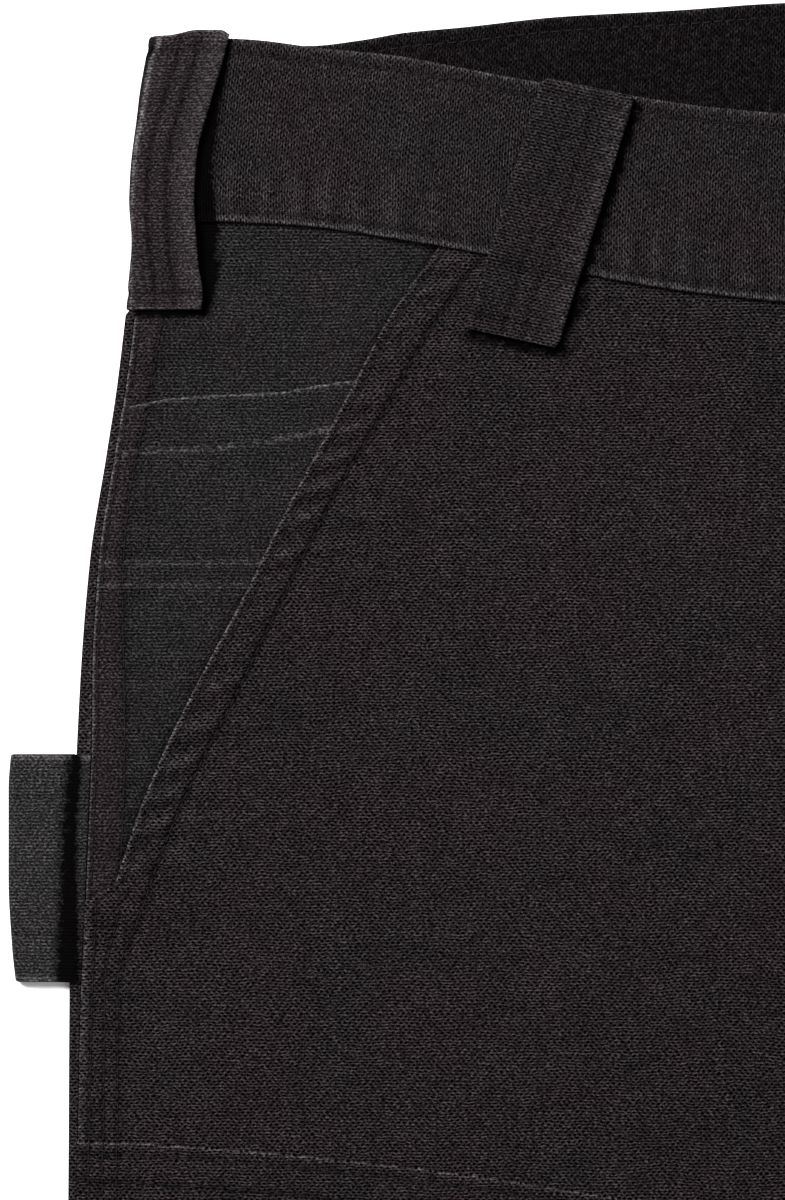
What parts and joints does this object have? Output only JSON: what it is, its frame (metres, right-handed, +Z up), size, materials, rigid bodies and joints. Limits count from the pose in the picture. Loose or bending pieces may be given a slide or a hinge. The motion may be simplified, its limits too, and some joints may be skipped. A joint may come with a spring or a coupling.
{
  "type": "carpenter pants",
  "caption": "Canvas carpenter pants laid flat, front up, with slash pockets, belt loops, a hammer loop and double fronts.",
  "frame": {"origin": "centre of the bounding box, on the surface that the garment lies on", "axes": "+Y from the leg hems to the waist, +Z up from the surface through the front, -X the wearer's right"},
  "size_m": [0.5358, 1.1308, 0.0146],
  "materials": {
    "duck": "heavy washed duck canvas, matt, near black, with a fine uneven weave",
    "band_duck": "the same duck with its grain turned, worn grey at the edges",
    "strap_duck": "folded duck strap with two rows of stitching",
    "zip_tape": "black woven tape",
    "button_metal": "antiqued metal, satin"
  },
  "bodies": {
    "root": {"front_right": "duck", "front_left": "duck", "back_right": "duck", "back_left": "duck", "pocket_facing_right": "duck", "pocket_facing_left": "duck", "coin_pocket": "duck", "knee_patch_right": "duck", "knee_patch_left": "duck", "waistband_right": "band_duck", "waistband_left": "band_duck", "belt_loop_front_right": "strap_duck", "belt_loop_front_left": "strap_duck", "belt_loop_side_right": "strap_duck", "belt_loop_side_left": "strap_duck", "belt_loop_back_right": "strap_duck", "belt_loop_back_centre": "strap_duck", "belt_loop_back_left": "strap_duck", "hammer_loop": "strap_duck", "fly_zip": "zip_tape", "waist_button": "button_metal"}
  },
  "joints": []
}
